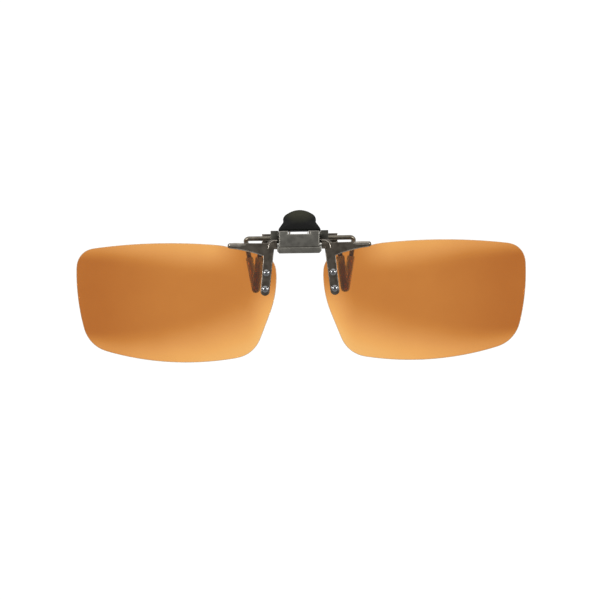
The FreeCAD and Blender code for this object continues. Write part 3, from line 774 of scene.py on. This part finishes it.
def front_sleeve():
    """A flattened soft sleeve on the strip's leg, with a rolled mouth above and rounded below."""
    low, high = node_box("front_claw_sleeve_right")
    half, deep, y = 1.2, (high.y - low.y) / 2, (low.y + high.y) / 2
    wall, roll = 0.35, 0.1
    top = Vector((low.x + half, y, high.z))
    tip = Vector((high.x - half, y, low.z + half))
    down = (tip - top).normalized()
    across = Vector((-down.z, 0, down.x))
    stations = [(top, half - wall, deep - wall), (top, half - roll, deep - roll)]
    stations += [(top + down * 0.12, half, deep)]
    stations += [(top.lerp(tip, share), half, deep) for share in (0.3, 0.6, 0.85)]
    for a in map(math.radians, (0, 15, 30, 45, 60, 72, 82, 88)):
        end = tip + down * half * math.sin(a)
        stations.append((end, half * math.cos(a), deep * math.cos(a) ** 0.6))
    bm = bmesh.new()
    loft(bm, [flattened(centre, across, wide, thick) for centre, wide, thick in stations])
    return bm


def wire_path():
    """The rear claw's centreline, from inside the axle tube to its tip."""
    inner, out, back = node_box("rear_claw_right")[0].x, 16.15, 1.7
    knee = Vector((15.4, back, FLIP.z - 3.0))
    tip = Vector((13.6, back, FLIP.z - 13.1))
    return [Vector((inner, LEVER.y, LEVER.z)), Vector((out, LEVER.y, LEVER.z)), knee, tip]


def rear_wire():
    """The claw's bent wire."""
    bend = 1.1
    bm = bmesh.new()
    tube(bm, bent(wire_path(), bend, 14), WIRE, 24, (False, True))
    return bm


def rear_sleeve():
    """A round soft sleeve on the wire's leg, with a rolled mouth and a domed tip."""
    knee, tip = wire_path()[2:]
    back = (knee - tip).normalized()
    bare = 0.5  # wire left bare below the knee
    outside, long = 1.15, (knee - tip).length - bare
    dome = [math.radians(angle) for angle in range(88, 0, -11)]
    profile = [(-outside * math.sin(a), outside * math.cos(a)) for a in dome]
    profile += [(0, outside), (long * 0.5, outside * 0.985), (long - 0.25, outside * 0.97)]
    profile += [(long - 0.06, outside * 0.92), (long, outside * 0.82), (long - 0.05, WIRE + 0.03)]
    bm = bmesh.new()
    lathe(bm, tip, back, profile, 32)
    return bm


# ---------------------------------------------------------------------------------------------
# Thumb lever
# ---------------------------------------------------------------------------------------------
def pad_outline():
    """The pad's outline in the lever's own plane: a flared foot, a waist, round shoulders and a
    domed top."""
    foot, waist, cheek = (6.28, 2.75), (4.77, 5.05), (4.96, 5.75)
    shoulder, top, low, high = (4.52, 6.95), (3.5, 7.75), 2.2, 8.88
    right = [foot, waist, cheek] + arc(cheek, shoulder, top, 10)
    outline = [(foot[0], low)] + right + arc(top, (0, high), (-top[0], top[1]), 30)
    outline += [(-x, up) for x, up in right[-2::-1]] + [(-foot[0], low)]
    return even(outline, 200, 4)


def thumb_pad():
    """The moulded pad, crowned on both faces and rounded at its rim."""
    middle = Vector((0, 5.1))
    half, soft, crown = 0.95, 0.6, 0.3
    rays = [Vector(point) - middle for point in pad_outline()]
    quarter = [math.radians(angle) for angle in range(0, 91, 15)]
    rounding = [(soft * (1 - math.cos(a)), soft * math.sin(a)) for a in quarter]
    core = [0.9, 0.78, 0.64, 0.5, 0.36, 0.22, 0.1, 0.02]

    def ring(inset, rise, share, face):
        points = []
        for ray in rays:
            spot = middle + (ray - ray.normalized() * inset) * share
            points.append(Vector((spot.x, -face * rise, spot.y)))
        return points

    def from_rim(face):
        rings = [ring(inset, half - soft + rise, 1.0, face) for inset, rise in rounding]
        rings += [ring(soft, half + crown * (1 - share ** 2), share, face) for share in core]
        return rings

    bm = bmesh.new()
    loft(bm, from_rim(1)[::-1] + from_rim(-1))
    bm.transform(LEVER_FRAME)
    return bm


def axle_tube():
    """The tube that the spring is wound on."""
    low, high = node_box("axle_tube")
    soft = 0.06
    profile = hollow(high.x - low.x, (high.z - low.z) / 2, WIRE, soft)
    bm = bmesh.new()
    lathe(bm, Vector((low.x, LEVER.y, LEVER.z)), (1, 0, 0), profile, 48, True)
    return bm


def torsion_coil():
    """A close-wound spring on the axle tube: one leg leans on the housing's web, the other hooks in
    front of the lever's arm."""
    low, high = node_box("lever_spring")
    radius, turns, steps = 0.15, 8, 28
    mean = (high.z - low.z) / 2 - radius
    start_x, end_x = low.x + radius, high.x - radius
    path = [Vector((start_x, LEVER.y - mean, LEVER.z - down)) for down in (3.0, 0.6)]
    for i in range(turns * steps + 1):
        share = i / (turns * steps)
        angle = math.pi - math.tau * turns * share
        x = start_x + (end_x - start_x) * share
        y, z = LEVER.y + mean * math.cos(angle), LEVER.z + mean * math.sin(angle)
        path.append(Vector((x, y, z)))
    hook = [Vector((end_x, -0.85, 0.9)), Vector((end_x, -0.5, 1.9)), Vector((3.2, -0.5, 2.0))]
    path += [LEVER_FRAME @ point for point in hook]
    bm = bmesh.new()
    tube(bm, path, radius, 12)
    return bm


# ---------------------------------------------------------------------------------------------
# Stage, lamps and camera
# ---------------------------------------------------------------------------------------------
WHITE = 1.06  # brightness behind the object
DIM = 0.62  # and on the photographer's side


def brightness(tree, heading):
    """How bright the surroundings are along a heading: dimmer towards the photographer."""
    split = tree.nodes.new("ShaderNodeSeparateXYZ")
    tree.links.new(heading, split.inputs["Vector"])
    dim_until, white_from = -0.8, -0.1  # the heading's part along Y
    return map_range(tree, split.outputs["Y"], dim_until, white_from, DIM, WHITE)


def stage():
    """A plain white floor well below the object, lit like the surroundings that it runs into."""
    reach, depth = 4.0, -0.16  # in metres
    bm = bmesh.new()
    corners = [(-reach, -reach), (reach, -reach), (reach, reach), (-reach, reach)]
    bm.faces.new([bm.verts.new((x, y, depth)) for x, y in corners])
    mesh = bpy.data.meshes.new("floor")
    bm.to_mesh(mesh)
    bm.free()
    paper = Look("paper", Roughness=1.0, Specular_IOR_Level=0.0, Base_Color=(0, 0, 0, 1))
    paper.shader.inputs["Emission Color"].default_value = (1, 1, 1, 1)
    heading = paper.node("ShaderNodeVectorMath")
    heading.operation = "NORMALIZE"
    paper.link(paper.place, heading.inputs[0])
    paper.drive("Emission Strength", brightness(paper.tree, heading.outputs["Vector"]))
    mesh.materials.append(paper.material)
    floor = bpy.data.objects.new("floor", mesh)
    bpy.context.scene.collection.objects.link(floor)


def outward(azimuth, elevation):
    """The direction at an azimuth, 0 in front and 90 to the right, and an elevation, in radians."""
    level = math.cos(elevation)
    return Vector((math.sin(azimuth) * level, -math.cos(azimuth) * level, math.sin(elevation)))


def softbox(name, azimuth, elevation, distance, wide, high, radiance):
    """An area lamp that faces the bridge, placed by angles in degrees."""
    lamp = bpy.data.lights.new(name, "AREA")
    lamp.shape = "RECTANGLE"
    lamp.size, lamp.size_y = wide, high
    lamp.energy = radiance * wide * high * math.pi
    holder = bpy.data.objects.new(name, lamp)
    bpy.context.scene.collection.objects.link(holder)
    away = outward(math.radians(azimuth), math.radians(elevation))
    holder.location = away * distance
    holder.rotation_mode = "QUATERNION"
    holder.rotation_quaternion = away.to_track_quat("Z", "Y")


def surroundings():
    """White all round, a little dimmer on the photographer's side."""
    world = bpy.data.worlds.new("white")
    world.use_nodes = True
    tree = world.node_tree
    place = tree.nodes.new("ShaderNodeTexCoord")
    lit = brightness(tree, place.outputs["Generated"])
    tree.links.new(lit, tree.nodes["Background"].inputs["Strength"])
    tree.nodes["Background"].inputs["Color"].default_value = (1, 1, 1, 1)
    bpy.context.scene.world = world


def camera():
    """Just above level, a touch to the right of the middle and a touch off upright."""
    data = bpy.data.cameras.new("camera")
    data.sensor_width = 36.0
    data.lens = 77.2
    data.clip_start, data.clip_end = 0.01, 20.0
    viewer = bpy.data.objects.new("camera", data)
    bpy.context.scene.collection.objects.link(viewer)
    aim = Vector((-0.00006, FLIP.y * MM, -0.0066))
    distance, turn, rise, roll = 0.380, math.radians(1.3), math.radians(2.4), math.radians(-0.8)
    away = outward(turn, rise)
    viewer.location = aim + away * distance
    viewer.rotation_mode = "QUATERNION"
    upright = away.to_track_quat("Z", "Y")
    viewer.rotation_quaternion = upright @ Matrix.Rotation(roll, 3, "Z").to_quaternion()
    bpy.context.scene.camera = viewer
    bpy.context.scene.view_settings.view_transform = "Standard"


# ---------------------------------------------------------------------------------------------
# Assembly
# ---------------------------------------------------------------------------------------------
edge = gunmetal_edge()
# the second dark look is wear on rounded edges and painted highlights on the bracket
dark_looks = [black_steel(), black_steel_wear_and_highlight()]
steel = bright_steel()

body = "lens_unit"
both_sides("tinted_lens", lens_shell, [lens_tint(), ground_edge()], body, "lens", 25)
both_sides("lens_arm", bracket, dark_looks, body, "lens_bracket", 60)
both_sides("dome_rivets", rivets, [gloss_black()], body, "lens_rivets", 60)
both_sides("nylon_rings", washers, [clear_nylon()], body, "lens_washers")

body = "clip_base"
# the shell's darker gunmetal is painted shade
shell = softened("bridge_housing", 0.12)
piece("box_shell", shell, [gunmetal_painted_shade(), edge], body, ["bridge_housing"])
front = softened("front_cover", 0.1)
piece("box_front", front, [gunmetal(), edge], body, ["front_cover"])
for side, _ in SIDES:
    strip = softened(f"front_claw_{side}", 0.12)
    piece(f"claw_strip_{side}", strip, dark_looks, body, [f"front_claw_{side}"])
smoke = [smoke_vinyl()]
both_sides("strip_sleeve", front_sleeve, smoke, body, "front_claw_sleeve", 60)

body = "thumb_lever"
both_sides("claw_wire", rear_wire, [wire_steel()], body, "rear_claw", 60)
pale = [pale_vinyl()]
both_sides("wire_sleeve", rear_sleeve, pale, body, "rear_claw_sleeve", 60)
blade = softened("lever_plate", 0.08)
piece("lever_blade", blade, dark_looks, body, ["lever_plate"])
piece("rubber_pad", thumb_pad(), [black_rubber()], body, ["thumb_pad"], 60)
piece("pivot_tube", axle_tube(), [steel], body, ["axle_tube"])

coil = piece("torsion_coil", torsion_coil(), [steel], None, ["lever_spring"], 60)
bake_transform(coil)

for kept in ("flip_shaft", "detent_cam", "detent_spring"):
    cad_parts[kept].data.materials.clear()
    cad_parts[kept].data.materials.append(steel)

stage()
surroundings()
softbox("key_left", -50, 10, 0.55, 0.13, 0.2, 32.0)
softbox("key_right", 54, 10, 0.55, 0.13, 0.2, 32.0)
softbox("top", 0, 68, 0.6, 0.9, 0.4, 1.5)
camera()
